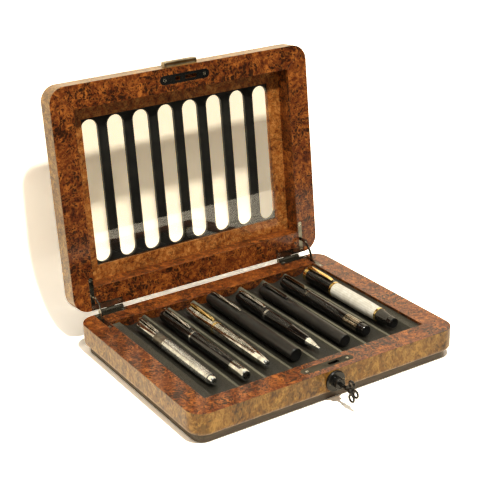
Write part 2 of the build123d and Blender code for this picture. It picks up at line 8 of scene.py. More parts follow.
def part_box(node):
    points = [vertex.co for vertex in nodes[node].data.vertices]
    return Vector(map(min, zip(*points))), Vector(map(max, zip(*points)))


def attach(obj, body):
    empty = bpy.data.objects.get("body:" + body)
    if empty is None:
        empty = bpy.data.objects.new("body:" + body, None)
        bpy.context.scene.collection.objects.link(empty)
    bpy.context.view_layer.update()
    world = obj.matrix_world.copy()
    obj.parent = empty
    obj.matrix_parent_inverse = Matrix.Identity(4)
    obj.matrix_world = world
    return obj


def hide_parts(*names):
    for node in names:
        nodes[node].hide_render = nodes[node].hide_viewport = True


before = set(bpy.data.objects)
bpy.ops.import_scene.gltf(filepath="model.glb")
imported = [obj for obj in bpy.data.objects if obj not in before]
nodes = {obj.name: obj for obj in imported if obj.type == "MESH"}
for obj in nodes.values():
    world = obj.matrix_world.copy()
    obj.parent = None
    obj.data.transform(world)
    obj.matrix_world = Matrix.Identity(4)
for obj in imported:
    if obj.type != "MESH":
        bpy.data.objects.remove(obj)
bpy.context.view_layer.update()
print("stage: frame loaded")

mm = 0.001


def tint(red, green, blue):
    # A colour as it shows on screen, 0 to 255, made linear
    parts = []
    for part in (red, green, blue):
        part = part / 255
        parts.append(part / 12.92 if part <= 0.04045 else ((part + 0.055) / 1.055) ** 2.4)
    return (*parts, 1.0)


def feed(tree, socket, value):
    # A socket gets linked; a plain value is set on the socket itself
    if isinstance(value, bpy.types.NodeSocket):
        tree.links.new(value, socket)
    elif value is not None:
        socket.default_value = value


def addNode(tree, kind, **settings):
    made = tree.nodes.new("ShaderNode" + kind)
    for name, value in settings.items():
        setattr(made, name, value)
    return made


def maths(tree, operation, first, second=None, third=None):
    made = addNode(tree, "Math", operation=operation)
    for socket, value in zip(made.inputs, (first, second, third)):
        feed(tree, socket, value)
    return made.outputs[0]


def vectorMaths(tree, operation, first, second=None):
    made = addNode(tree, "VectorMath", operation=operation)
    feed(tree, made.inputs[0], first)
    feed(tree, made.inputs[3] if operation == "SCALE" else made.inputs[1], second)
    return made.outputs[0]


def ease(tree, value, low, high, toLow=0.0, toHigh=1.0):
    made = addNode(tree, "MapRange", interpolation_type="SMOOTHSTEP")
    for socket, number in zip(made.inputs, (value, low, high, toLow, toHigh)):
        feed(tree, socket, number)
    return made.outputs[0]


def blendColours(tree, factor, first, second):
    made = addNode(tree, "Mix", data_type="RGBA", blend_type="MIX", clamp_factor=True)
    feed(tree, made.inputs[0], factor)
    feed(tree, made.inputs[6], first)
    feed(tree, made.inputs[7], second)
    return made.outputs[2]


def noise(tree, vector, scale, detail=2.0, roughness=0.5, distortion=0.0):
    made = addNode(tree, "TexNoise")
    values = {
        "Vector": vector, "Scale": scale, "Detail": detail, "Roughness": roughness, "Distortion": distortion,
    }
    for name, value in values.items():
        feed(tree, made.inputs[name], value)
    return made.outputs


def cellDistance(tree, vector, scale):
    made = addNode(tree, "TexVoronoi", feature="F1")
    feed(tree, made.inputs["Vector"], vector)
    feed(tree, made.inputs["Scale"], scale)
    return made.outputs["Distance"]


def bumpFrom(tree, height, strength, distance, normal=None):
    made = addNode(tree, "Bump")
    values = {"Strength": strength, "Distance": distance, "Height": height, "Normal": normal}
    for name, value in values.items():
        feed(tree, made.inputs[name], value)
    return made.outputs[0]


def split(tree, vector):
    made = addNode(tree, "SeparateXYZ")
    feed(tree, made.inputs[0], vector)
    return made.outputs


def join(tree, x, y, z):
    made = addNode(tree, "CombineXYZ")
    for socket, value in zip(made.inputs, (x, y, z)):
        feed(tree, socket, value)
    return made.outputs[0]


def newGroup(name, inputs, outputs):
    # A tuple of three is a vector's default and one of four a colour's
    tree = bpy.data.node_groups.new(name, "ShaderNodeTree")
    for label, value in inputs.items():
        kind = "Float"
        if isinstance(value, tuple):
            kind = "Vector" if len(value) == 3 else "Color"
        socket = tree.interface.new_socket(name=label, in_out="INPUT", socket_type="NodeSocket" + kind)
        socket.default_value = value
    for label, kind in outputs.items():
        tree.interface.new_socket(name=label, in_out="OUTPUT", socket_type="NodeSocket" + kind)
    start = tree.nodes.new("NodeGroupInput")
    end = tree.nodes.new("NodeGroupOutput")
    return tree, start.outputs, end.inputs


def place(tree, group, **values):
    # Puts a group into a material; value names are the sockets' names without spaces
    made = tree.nodes.new("ShaderNodeGroup")
    made.node_tree = group
    for socket in made.inputs:
        feed(tree, socket, values.get(socket.name.replace(" ", "")))
    return made.outputs


def newMaterial(name, **values):
    # A Principled material; value names are the shader's inputs without spaces
    material = bpy.data.materials.new(name)
    material.use_nodes = True
    tree = material.node_tree
    shader = tree.nodes["Principled BSDF"]
    for socket in shader.inputs:
        feed(tree, socket, values.get(socket.name.replace(" ", "")))
    return material, tree, shader.inputs


def ownPlace(tree, location=(0, 0, 0), rotation=(0, 0, 0), scale=(1, 1, 1)):
    # Object coordinates, moved by a Mapping node
    mapping = addNode(tree, "Mapping")
    feed(tree, mapping.inputs["Vector"], addNode(tree, "TexCoord").outputs["Object"])
    mapping.inputs["Location"].default_value = location
    mapping.inputs["Rotation"].default_value = rotation
    mapping.inputs["Scale"].default_value = scale
    return mapping.outputs[0]


# Effects shared by several materials

# Sheets of burl veneer: each rail's top and side has its own, met in a fine line at the mitres.
# Scales are per metre; the drifts curl the figure.
burlFigure = {
    "rimHalf": 0.25 * mm, "faceReach": 12.0 * mm, "joint": (0.32 * mm, 0.06 * mm), "sideStretch": 0.65,
    "slowDrift": (34, 16.0 * mm), "fastDrift": (190, 4.2 * mm),
    "slow": 22, "cloud": 160, "fine": 700, "bigEyes": 235, "smallEyes": 430, "eyeSize": 150, "herd": 40,
}
burlVeneer, given, out = newGroup(
    "burlVeneer",
    {
        "Vector": (0.0, 0.0, 0.0), "Inner X": 0.1195, "Inner Y": 0.087, "Scale": 1.0, "Eye Amount": 1.0,
        "Deep": tint(60, 30, 12), "Body": tint(130, 80, 35), "Light": tint(190, 130, 60),
        "Side Deep": tint(60, 30, 12), "Side Body": tint(130, 80, 35), "Side Light": tint(190, 130, 60),
        "Eye": tint(30, 14, 8), "Inner Shade": 0.0,
    },
    {"Color": "Color", "Height": "Float", "Joint": "Float"},
)
x, y, z = split(burlVeneer, given["Vector"])[:3]
pastX = maths(burlVeneer, "SUBTRACT", maths(burlVeneer, "ABSOLUTE", x), given["Inner X"])
pastY = maths(burlVeneer, "SUBTRACT", maths(burlVeneer, "ABSOLUTE", y), given["Inner Y"])
fromMitre = maths(burlVeneer, "SUBTRACT", pastX, pastY)
onSideRail = maths(burlVeneer, "GREATER_THAN", fromMitre, 0.0)
onRim = maths(burlVeneer, "LESS_THAN", maths(burlVeneer, "ABSOLUTE", z), burlFigure["rimHalf"])
outermost = maths(burlVeneer, "MAXIMUM", pastX, pastY)
inward = maths(burlVeneer, "LESS_THAN", outermost, burlFigure["faceReach"])
onFace = maths(burlVeneer, "MAXIMUM", onRim, inward)
innerWall = maths(burlVeneer, "MULTIPLY", inward, maths(burlVeneer, "SUBTRACT", 1.0, onRim))
toRight = maths(burlVeneer, "GREATER_THAN", x, 0.0)
toRear = maths(burlVeneer, "GREATER_THAN", y, 0.0)
sheetShift = join(
    burlVeneer,
    maths(burlVeneer, "MULTIPLY_ADD", onSideRail, 0.31, maths(burlVeneer, "MULTIPLY", onRim, 0.17)),
    maths(burlVeneer, "MULTIPLY", maths(burlVeneer, "MULTIPLY", onSideRail, toRight), 0.23),
    maths(burlVeneer, "MULTIPLY", maths(burlVeneer, "MULTIPLY_ADD", onSideRail, -1.0, toRear), 0.41),
)
sideStretch = burlFigure["sideStretch"]
stretch = maths(burlVeneer, "MULTIPLY_ADD", onFace, 1.0 - sideStretch, sideStretch)
upright = join(burlVeneer, x, y, maths(burlVeneer, "MULTIPLY", z, stretch))
sized = vectorMaths(burlVeneer, "SCALE", vectorMaths(burlVeneer, "ADD", upright, sheetShift), given["Scale"])
curled = sized
for driftScale, driftReach in (burlFigure["slowDrift"], burlFigure["fastDrift"]):
    drift = vectorMaths(
        burlVeneer, "SUBTRACT", noise(burlVeneer, curled, driftScale, 2)["Color"], (0.5, 0.5, 0.5)
    )
    curled = vectorMaths(burlVeneer, "ADD", curled, vectorMaths(burlVeneer, "SCALE", drift, driftReach))
cloud = noise(burlVeneer, curled, burlFigure["cloud"], 5, 0.62)["Fac"]
slow = noise(burlVeneer, sized, burlFigure["slow"], 2)["Fac"]
fine = noise(burlVeneer, curled, burlFigure["fine"], 3, 0.7)["Fac"]
mixed = maths(burlVeneer, "MULTIPLY_ADD", cloud, 0.62, maths(burlVeneer, "MULTIPLY", fine, 0.24))
mixed = maths(burlVeneer, "MULTIPLY_ADD", slow, 0.14, mixed)
bigEyes = cellDistance(burlVeneer, curled, burlFigure["bigEyes"])
smallEyes = cellDistance(burlVeneer, curled, burlFigure["smallEyes"])
eyeSize = noise(burlVeneer, sized, burlFigure["eyeSize"], 1)["Fac"]
herd = ease(burlVeneer, noise(burlVeneer, sized, burlFigure["herd"], 2)["Fac"], 0.36, 0.60)
bigReach = maths(burlVeneer, "MULTIPLY", eyeSize, maths(burlVeneer, "MULTIPLY_ADD", herd, 0.34, 0.34))
bigMask = ease(burlVeneer, maths(burlVeneer, "SUBTRACT", bigReach, bigEyes), -0.10, 0.10)
smallReach = maths(burlVeneer, "MULTIPLY", eyeSize, maths(burlVeneer, "MULTIPLY_ADD", herd, 0.42, 0.50))
smallMask = ease(burlVeneer, maths(burlVeneer, "SUBTRACT", smallReach, smallEyes), -0.12, 0.14)
eyes = maths(burlVeneer, "MAXIMUM", bigMask, maths(burlVeneer, "MULTIPLY", smallMask, 0.9))
eyes = maths(burlVeneer, "MULTIPLY", eyes, given["Eye Amount"])
eyes = maths(burlVeneer, "MULTIPLY", eyes, maths(burlVeneer, "MULTIPLY_ADD", onFace, 0.5, 0.5))
deep, body, light = (
    blendColours(burlVeneer, onFace, given["Side " + name], given[name])
    for name in ("Deep", "Body", "Light")
)
toMiddle = blendColours(burlVeneer, ease(burlVeneer, mixed, 0.38, 0.49), deep, body)
toLight = blendColours(burlVeneer, ease(burlVeneer, mixed, 0.50, 0.61), toMiddle, light)
halo = maths(burlVeneer, "MULTIPLY", ease(burlVeneer, bigEyes, 0.62, 0.30), 0.45)
haloed = blendColours(burlVeneer, halo, toLight, light)
figured = blendColours(burlVeneer, eyes, haloed, given["Eye"])
# Painted shade: Inner Shade darkens the inner walls towards the eye colour, as in a shaded recess
paintedWallShade = maths(burlVeneer, "MULTIPLY", innerWall, given["Inner Shade"])
feed(burlVeneer, out["Color"], blendColours(burlVeneer, paintedWallShade, figured, given["Eye"]))
feed(burlVeneer, out["Height"], maths(burlVeneer, "MULTIPLY_ADD", eyes, -0.6, mixed))
nearMitre = maths(burlVeneer, "ABSOLUTE", fromMitre)
feed(burlVeneer, out["Joint"], ease(burlVeneer, nearMitre, *burlFigure["joint"]))

# Fine scratches and cloudy handling marks
handling, given, out = newGroup(
    "handling",
    {"Vector": (0.0, 0.0, 0.0), "Roughness": 0.3, "Spread": 0.1},
    {"Roughness": "Float", "Height": "Float", "Cloud": "Float"},
)
cloudy = noise(handling, given["Vector"], 38, 4, 0.6)["Fac"]
turned = addNode(handling, "Mapping")
feed(handling, turned.inputs["Vector"], given["Vector"])
turned.inputs["Rotation"].default_value = (0.3, 0.2, 0.7)
turned.inputs["Scale"].default_value = (1.0, 0.03, 1.0)
hair = ease(handling, noise(handling, turned.outputs[0], 2600, 1)["Fac"], 0.68, 0.76)
spread = maths(handling, "MULTIPLY", maths(handling, "SUBTRACT", cloudy, 0.5), given["Spread"])
uneven = maths(handling, "ADD", given["Roughness"], spread)
feed(handling, out["Roughness"], maths(handling, "MULTIPLY_ADD", hair, 0.08, uneven))
feed(handling, out["Height"], hair)
feed(handling, out["Cloud"], cloudy)

# Rounded edges for the light, and a mask near the edges; materials lighten there as rubbed wear, and on the
# burl, leather and black panel also as a painted highlight
softEdge, given, out = newGroup(
    "softEdge", {"Radius": 0.0004}, {"Normal": "Vector", "Rubbed": "Float"}
)
rounded = addNode(softEdge, "Bevel", samples=4)
feed(softEdge, rounded.inputs["Radius"], given["Radius"])
facing = addNode(softEdge, "VectorMath", operation="DOT_PRODUCT")
feed(softEdge, facing.inputs[0], rounded.outputs[0])
feed(softEdge, facing.inputs[1], addNode(softEdge, "NewGeometry").outputs["Normal"])
feed(softEdge, out["Normal"], rounded.outputs[0])
feed(softEdge, out["Rubbed"], ease(softEdge, facing.outputs["Value"], 0.98, 0.78))

# Leather: pebbles with creases between them
leatherGrain, given, out = newGroup(
    "leatherGrain",
    {"Vector": (0.0, 0.0, 0.0), "Scale": 1.0},
    {"Height": "Float", "Crease": "Float", "Cloud": "Float"},
)
sized = vectorMaths(leatherGrain, "SCALE", given["Vector"], given["Scale"])
wobble = vectorMaths(leatherGrain, "SCALE", noise(leatherGrain, sized, 900, 1)["Color"], 0.0006)
pebbles = cellDistance(leatherGrain, vectorMaths(leatherGrain, "ADD", sized, wobble), 1500)
crease = ease(leatherGrain, pebbles, 0.35, 0.75)
feed(leatherGrain, out["Height"], maths(leatherGrain, "SUBTRACT", 1.0, crease))
feed(leatherGrain, out["Crease"], crease)
feed(leatherGrain, out["Cloud"], noise(leatherGrain, sized, 26, 4, 0.6)["Fac"])

# Lines engraved along a shaft, so many around it
engravedLines, given, out = newGroup(
    "engravedLines", {"Vector": (0.0, 0.0, 0.0), "Around": 0.0}, {"Along": "Float"}
)
across = split(engravedLines, given["Vector"])
angle = maths(engravedLines, "ARCTAN2", across[0], across[2])
wave = maths(engravedLines, "COSINE", maths(engravedLines, "MULTIPLY", angle, given["Around"]))
feed(engravedLines, out["Along"], ease(engravedLines, wave, 0.4, 0.9))
print("stage: shared effects")

# The lid lies open in the frame; its own plane has Y to the hinge and Z into the wood
lid = {"open": math.radians(95.4), "gap": 0.3 * mm, "pivotZ": 31.15 * mm, "pivotY": 112.8 * mm}
rimHeight = 31.0 * mm


def lidPlace(tree):
    # Object coordinates turned into the lid's plane: first to the pivot, then by the opening angle
    toPivot = ownPlace(tree, location=(0.0, -lid["pivotY"], -lid["pivotZ"]))
    turn = addNode(tree, "Mapping")
    feed(tree, turn.inputs["Vector"], toPivot)
    turn.inputs["Rotation"].default_value = (lid["open"], 0.0, 0.0)
    turn.inputs["Location"].default_value = (0.0, lid["pivotY"], -lid["gap"] / 2)
    return turn.outputs[0]


def paint(material, *names):
    for name in names:
        nodes[name].data.materials.clear()
        nodes[name].data.materials.append(material)


# Burl veneer under lacquer

burlLook = {
    "rail": {
        "Scale": 1.0, "EyeAmount": 0.95, "Eye": tint(26, 10, 4),
        "Deep": tint(50, 18, 4), "Body": tint(112, 52, 17), "Light": tint(184, 106, 42),
        "SideDeep": tint(72, 42, 9), "SideBody": tint(134, 88, 28), "SideLight": tint(188, 138, 60),
    },
    "frame": {
        "Scale": 1.0, "EyeAmount": 0.6, "Eye": tint(64, 28, 10),
        "Deep": tint(88, 38, 11), "Body": tint(160, 90, 34), "Light": tint(208, 140, 70),
        "SideDeep": tint(88, 38, 11), "SideBody": tint(160, 90, 34), "SideLight": tint(208, 140, 70),
    },
    "roughness": 0.36, "lacquer": 0.55, "lacquerRoughness": 0.1, "shine": 0.22,
    "glueLine": tint(36, 18, 8), "worn": tint(190, 130, 74), "openingX": 119.5 * mm, "openingY": 87.0 * mm,
}


def burl(name, look, placer):
    made, tree, shader = newMaterial(
        name, CoatRoughness=burlLook["lacquerRoughness"], CoatIOR=1.5, SpecularIORLevel=burlLook["shine"]
    )
    where = placer(tree)
    opening = {"InnerX": burlLook["openingX"], "InnerY": burlLook["openingY"]}
    figure = place(tree, burlVeneer, Vector=where, **opening, **look)
    jointShade = maths(tree, "MULTIPLY", figure["Joint"], 0.6)
    joined = blendColours(tree, jointShade, figure["Color"], burlLook["glueLine"])
    marks = place(tree, handling, Vector=where, Roughness=burlLook["roughness"], Spread=0.16)
    edges = place(tree, softEdge, Radius=0.5 * mm)
    # Edges lightened towards a pale tan: partly rubbed wear, partly a painted highlight along the arrises
    worn = blendColours(tree, maths(tree, "MULTIPLY", edges["Rubbed"], 0.3), joined, burlLook["worn"])
    feed(tree, shader["Base Color"], worn)
    feed(tree, shader["Roughness"], marks["Roughness"])
    lacquer = maths(tree, "MULTIPLY_ADD", marks["Cloud"], -0.25, burlLook["lacquer"])
    feed(tree, shader["Coat Weight"], lacquer)
    grain = maths(tree, "MULTIPLY", figure["Height"], 0.35)
    relief = maths(tree, "MULTIPLY_ADD", figure["Joint"], -0.8, grain)
    relief = maths(tree, "MULTIPLY_ADD", marks["Height"], -0.1, relief)
    feed(tree, shader["Normal"], bumpFrom(tree, relief, 0.25, 0.12 * mm, edges["Normal"]))
    return made


def basePlace(tree):
    return ownPlace(tree, location=(0.0, 0.0, -rimHeight))


# The base's inner walls get painted shade
burlBase = burl("burlBase", {**burlLook["rail"], "InnerShade": 0.35}, basePlace)
burlLid = burl("burlLid", burlLook["rail"], lidPlace)
burlFrame = burl("burlFrame", burlLook["frame"], lidPlace)
paint(burlBase, "base_front_rail", "base_rear_rail", "base_left_rail", "base_right_rail")
paint(burlLid, "lid_front_rail", "lid_rear_rail", "lid_left_rail", "lid_right_rail")
paint(burlFrame, "window_frame")

# Stained plinth and the plain wood inside


def straightGrain(name, deep, light, roughness, along):
    made, tree, shader = newMaterial(name)
    where = ownPlace(tree, scale=along)
    drift = vectorMaths(tree, "SCALE", noise(tree, where, 24, 2)["Color"], 0.012)
    grain = noise(tree, vectorMaths(tree, "ADD", where, drift), 420, 5, 0.65)["Fac"]
    marks = place(tree, handling, Vector=ownPlace(tree), Roughness=roughness, Spread=0.2)
    edges = place(tree, softEdge, Radius=0.5 * mm)
    colour = blendColours(tree, ease(tree, grain, 0.34, 0.68), deep, light)
    worn = blendColours(tree, maths(tree, "MULTIPLY", edges["Rubbed"], 0.3), colour, light)
    feed(tree, shader["Base Color"], worn)
    feed(tree, shader["Roughness"], marks["Roughness"])
    feed(tree, shader["Normal"], bumpFrom(tree, grain, 0.3, 0.15 * mm, edges["Normal"]))
    return made


plinthWood = straightGrain("plinthWood", tint(62, 50, 36), tint(98, 82, 60), 0.38, (0.12, 1.0, 1.0))
plainWood = straightGrain("plainWood", tint(150, 118, 76), tint(196, 164, 116), 0.6, (0.08, 1.0, 1.0))
paint(plinthWood, "plinth")
paint(plainWood, "base_bottom_panel", "tray_board", "tray_ribs")

# Baize underneath

baize, tree, shader = newMaterial("baize", SheenWeight=0.6, SheenRoughness=0.5)
where = ownPlace(tree)
fibres = noise(tree, where, 2400, 3, 0.7)["Fac"]
nap = noise(tree, where, 60, 3)["Fac"]
mottle = maths(tree, "MULTIPLY_ADD", nap, 0.5, maths(tree, "MULTIPLY", fibres, 0.5))
felt = blendColours(tree, ease(tree, mottle, 0.3, 0.7), tint(30, 30, 26), tint(64, 62, 52))
feed(tree, shader["Base Color"], felt)
feed(tree, shader["Roughness"], ease(tree, fibres, 0.2, 0.8, 0.82, 0.98))
feed(tree, shader["Normal"], bumpFrom(tree, fibres, 0.6, 0.3 * mm))
paint(baize, "base_baize")

# Tray leather

# The leather's crest highlight colour is a painted highlight
leather = {
    "deep": tint(36, 34, 24), "worn": tint(62, 59, 44), "crest": tint(128, 124, 100),
    "creases": tint(20, 19, 14), "tooling": tint(22, 18, 12), "roughness": 0.42,
    "margin": 111.6 * mm, "lines": 1.6 * mm, "crestFrom": 24.0 * mm, "crestTop": 28.4 * mm,
    "crestEdge": (28.1 * mm, 28.45 * mm), "crestsEnd": -6.0 * mm, "rearEnds": (72.0 * mm, 88.0 * mm),
}
trayLeather, tree, shader = newMaterial("trayLeather")
where = ownPlace(tree)
grain = place(tree, leatherGrain, Vector=where, Scale=1.0)
marks = place(tree, handling, Vector=where, Roughness=leather["roughness"], Spread=0.3)
edges = place(tree, softEdge, Radius=1.1 * mm)
x, y, z = split(tree, where)[:3]
outward = maths(tree, "SUBTRACT", maths(tree, "ABSOLUTE", x), leather["margin"])
inMargin = maths(tree, "GREATER_THAN", outward, 0.0)
line = ease(tree, maths(tree, "FRACT", maths(tree, "DIVIDE", outward, leather["lines"])), 0.75, 0.97)
tooled = maths(tree, "MULTIPLY", line, inMargin)
high = ease(tree, z, leather["crestFrom"], leather["crestTop"])
rubbed = maths(tree, "MULTIPLY", high, ease(tree, grain["Cloud"], 0.35, 0.7, 0.15, 0.75))
# Edges lightened as well: rubbed wear and a painted highlight where the rounded edges catch the light
rubbed = maths(tree, "MAXIMUM", rubbed, maths(tree, "MULTIPLY", edges["Rubbed"], 0.9))
# Painted highlights: the crests' tops and their rear ends are lightened, as where they catch the light
paintedRearHighlight = ease(tree, y, *leather["rearEnds"])
paintedRearHighlight = maths(tree, "MULTIPLY", paintedRearHighlight, ease(tree, grain["Cloud"], 0.3, 0.65, 0.3, 0.9))
paintedRearHighlight = maths(tree, "MULTIPLY", paintedRearHighlight, maths(tree, "MULTIPLY", high, 0.7))
paintedCrestHighlight = ease(tree, z, *leather["crestEdge"])
paintedCrestHighlight = maths(tree, "MULTIPLY", paintedCrestHighlight, ease(tree, grain["Cloud"], 0.3, 0.6, 0.3, 0.75))
paintedCrestHighlight = maths(tree, "MULTIPLY", paintedCrestHighlight, maths(tree, "LESS_THAN", outward, leather["crestsEnd"]))
paintedCrestHighlight = maths(tree, "MAXIMUM", paintedCrestHighlight, paintedRearHighlight)
colour = blendColours(tree, rubbed, leather["deep"], leather["worn"])
colour = blendColours(tree, paintedCrestHighlight, colour, leather["crest"])
# Painted shade in the grain's creases
colour = blendColours(tree, maths(tree, "MULTIPLY", grain["Crease"], 0.45), colour, leather["creases"])
colour = blendColours(tree, maths(tree, "MULTIPLY", tooled, 0.6), colour, leather["tooling"])
feed(tree, shader["Base Color"], colour)
feed(tree, shader["Roughness"], maths(tree, "MULTIPLY_ADD", grain["Crease"], 0.2, marks["Roughness"]))
relief = maths(tree, "MULTIPLY_ADD", tooled, -1.5, maths(tree, "MULTIPLY", grain["Height"], 0.5))
feed(tree, shader["Normal"], bumpFrom(tree, relief, 0.35, 0.18 * mm, edges["Normal"]))
paint(trayLeather, "tray_lining")

# Black panel and the glass before it

blackPanel, tree, shader = newMaterial("blackPanel")
where = ownPlace(tree)
marks = place(tree, handling, Vector=where, Roughness=0.36, Spread=0.2)
edges = place(tree, softEdge, Radius=0.5 * mm)
speck = noise(tree, where, 3200, 2)["Fac"]
colour = blendColours(tree, ease(tree, marks["Cloud"], 0.3, 0.8), tint(15, 14, 11), tint(27, 26, 21))
# Painted highlight: the panel's edges, the slots' sides among them, are lightened as where they catch the
# light
worn = blendColours(tree, maths(tree, "MULTIPLY", edges["Rubbed"], 0.8), colour, tint(92, 86, 64))
feed(tree, shader["Base Color"], worn)
feed(tree, shader["Roughness"], marks["Roughness"])
feed(tree, shader["Normal"], bumpFrom(tree, speck, 0.15, 0.05 * mm, edges["Normal"]))
paint(blackPanel, "slotted_panel")

glass, tree, shader = newMaterial(
    "glass", IOR=1.65, TransmissionWeight=1.0, BaseColor=(0.97, 0.985, 0.975, 1.0)
)
where = ownPlace(tree)
smear = noise(tree, where, 22, 4, 0.7)["Fac"]
feed(tree, shader["Roughness"], ease(tree, smear, 0.5, 0.85, 0.0, 0.03))
lampsPass = tree.nodes.new("ShaderNodeMixShader")  # lamps light the panel behind the pane
feed(tree, lampsPass.inputs[0], addNode(tree, "LightPath").outputs["Is Shadow Ray"])
tree.links.new(tree.nodes["Principled BSDF"].outputs[0], lampsPass.inputs[1])
tree.links.new(addNode(tree, "BsdfTransparent").outputs[0], lampsPass.inputs[2])
tree.links.new(lampsPass.outputs[0], tree.nodes["Material Output"].inputs["Surface"])
paint(glass, "glass_pane")

# Metals


frontFace = {"y": -110.5 * mm, "dull": tint(26, 25, 22)}  # the escutcheon's screws are dull


def metal(name, dark, pale, roughness, brushed=0.0, metallic=1.0, rub=0.4, frontShade=0.0):
    made, tree, shader = newMaterial(name, Metallic=metallic)
    where = ownPlace(tree)
    marks = place(tree, handling, Vector=where, Roughness=roughness, Spread=0.12)
    edges = place(tree, softEdge, Radius=0.35 * mm)
    strokes = noise(tree, ownPlace(tree, scale=(0.04, 1.0, 1.0)), 2200, 3, 0.6)["Fac"]
    tarnish = ease(tree, marks["Cloud"], 0.34, 0.70)
    colour = blendColours(tree, tarnish, pale, dark)
    colour = blendColours(tree, maths(tree, "MULTIPLY", edges["Rubbed"], rub), colour, pale)
    if frontShade > 0:
        onFront = maths(tree, "LESS_THAN", split(tree, where)[1], frontFace["y"])
        dulled = maths(tree, "MULTIPLY", onFront, frontShade)
        colour = blendColours(tree, dulled, colour, frontFace["dull"])
    feed(tree, shader["Base Color"], colour)
    feed(tree, shader["Roughness"], maths(tree, "MULTIPLY_ADD", strokes, brushed, marks["Roughness"]))
    relief = maths(tree, "ADD", strokes, marks["Height"])
    feed(tree, shader["Normal"], bumpFrom(tree, relief, 0.04 + brushed, 0.02 * mm, edges["Normal"]))
    return made


gunmetal = metal("gunmetal", tint(84, 82, 75), tint(156, 153, 140), 0.13, rub=0.6)
pewter = metal("pewter", tint(104, 94, 72), tint(160, 146, 118), 0.32, brushed=0.16)
lockSteel = metal("lockSteel", tint(138, 136, 130), tint(188, 186, 180), 0.3, brushed=0.12)
blackMetal = metal("blackMetal", tint(15, 15, 13), tint(32, 31, 28), 0.25, metallic=0.25, rub=0.3)
blackPlate = metal("blackPlate", tint(14, 14, 12), tint(34, 33, 30), 0.26, metallic=0.3, rub=0.5)
brightScrew = metal("brightScrew", tint(150, 146, 128), tint(206, 202, 186), 0.22, rub=0.3, frontShade=0.85)
paint(gunmetal, "left_hinge_base_leaf", "left_hinge_lid_leaf", "left_hinge_stay", "left_hinge_pin",
      "right_hinge_base_leaf", "right_hinge_lid_leaf", "right_hinge_stay", "right_hinge_pin")
platePewter = metal("platePewter", tint(46, 44, 37), tint(92, 88, 76), 0.34, brushed=0.2)
paint(platePewter, "lock_faceplate")
paint(pewter, "lid_pull")
paint(lockSteel, "lock_case", "lock_bolt")
paint(blackMetal, "escutcheon", "lock_plug")
paint(blackPlate, "strike_plate")
paint(brightScrew, "base_screws", "lid_screws")
print("stage: chest materials")


# Pens: each one's axis is found from its cap, and its places are along it from the clip end, in mm

penSkins = {
    "chrome": {
        "slot": "chrome_pen", "dark": tint(168, 168, 162), "pale": tint(222, 222, 218),
        "roughness": 0.1, "metallic": 1.0,
    },
    "satin": {
        "slot": "chrome_pen", "dark": tint(190, 190, 182), "pale": tint(230, 230, 224),
        "roughness": 0.24, "metallic": 0.85, "around": 10.0, "depth": 0.3, "line": tint(120, 114, 100),
    },
    "grey": {
        "slot": "chrome_pen", "dark": tint(92, 84, 72), "pale": tint(124, 116, 100),
        "roughness": 0.3, "metallic": 0.7,
    },
    "engraved": {
        "slot": "chrome_pen", "dark": tint(120, 112, 96), "pale": tint(196, 188, 168),
        "roughness": 0.2, "metallic": 1.0, "around": 9.0, "depth": 0.8, "line": tint(30, 28, 24),
    },
    "gold": {
        "slot": "gold_pen", "dark": tint(214, 174, 92), "pale": tint(250, 226, 156),
        "roughness": 0.13, "metallic": 1.0,
    },
    "smoke": {
        "slot": "chrome_pen", "dark": tint(70, 66, 58), "pale": tint(132, 126, 112),
        "roughness": 0.16, "metallic": 1.0,
    },
    "gloss": {
        "slot": "black_gloss_pen", "dark": tint(8, 8, 7), "pale": tint(17, 16, 14),
        "roughness": 0.09, "metallic": 0.0,
    },
    "matte": {
        "slot": "black_matte_pen", "dark": tint(11, 10, 8), "pale": tint(19, 18, 14),
        "roughness": 0.33, "metallic": 0.0,
    },
    "ivory": {
        "slot": "ivory_pen", "dark": tint(222, 215, 194), "pale": tint(240, 235, 218),
        "roughness": 0.2, "metallic": 0.0, "around": 20.0, "depth": 0.22, "line": tint(170, 160, 132),
    },
}
